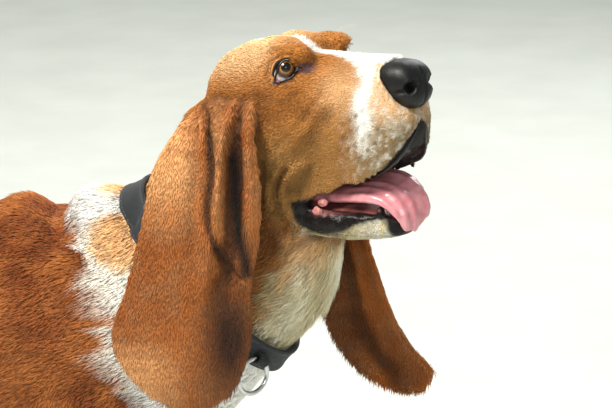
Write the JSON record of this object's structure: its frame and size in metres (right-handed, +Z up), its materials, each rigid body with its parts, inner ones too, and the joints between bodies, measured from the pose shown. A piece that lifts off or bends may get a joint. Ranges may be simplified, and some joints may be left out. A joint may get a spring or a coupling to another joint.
{
  "type": "basset hound",
  "caption": "Life-size standing short-legged hound with long hanging ears, head turned and raised, mouth open, wearing a webbing collar with a ring.",
  "frame": {"origin": "on the floor, under the middle of the model's box", "axes": "+X forwards along the body, +Y to the animal's left, +Z up"},
  "size_m": [0.9216, 0.2996, 0.5487],
  "materials": {
    "tan_coat": "short smooth tan hair",
    "red_coat": "short smooth red-brown hair",
    "ear_coat": "short fine dark red-brown hair",
    "white_coat": "short smooth white hair",
    "cream_coat": "longer wavy cream hair",
    "nose_leather": "moist, finely pebbled",
    "tongue": "wet pink",
    "eye": "wet brown eye",
    "claw_horn": "dark horn",
    "webbing": "black woven webbing",
    "steel": "bright wire"
  },
  "bodies": {
    "root": {"claw_fore_left_1": "claw_horn", "claw_fore_left_2": "claw_horn", "claw_fore_left_3": "claw_horn", "claw_fore_left_4": "claw_horn", "claw_fore_right_1": "claw_horn", "claw_fore_right_2": "claw_horn", "claw_fore_right_3": "claw_horn", "claw_fore_right_4": "claw_horn", "claw_hind_left_1": "claw_horn", "claw_hind_left_2": "claw_horn", "claw_hind_left_3": "claw_horn", "claw_hind_left_4": "claw_horn", "claw_hind_right_1": "claw_horn", "claw_hind_right_2": "claw_horn", "claw_hind_right_3": "claw_horn", "claw_hind_right_4": "claw_horn", "collar": "webbing", "collar_ring": "steel", "ear_left": "ear_coat", "ear_right": "ear_coat", "eye_left": "eye", "eye_right": "eye", "head": "tan_coat", "leg_fore_left": "white_coat", "leg_fore_right": "white_coat", "leg_hind_left": "white_coat", "leg_hind_right": "white_coat", "lower_jaw": "white_coat", "neck": "cream_coat", "nose_leather": "nose_leather", "ring_keeper": "webbing", "tail": "white_coat", "tongue": "tongue", "trunk": "red_coat"}
  },
  "joints": []
}
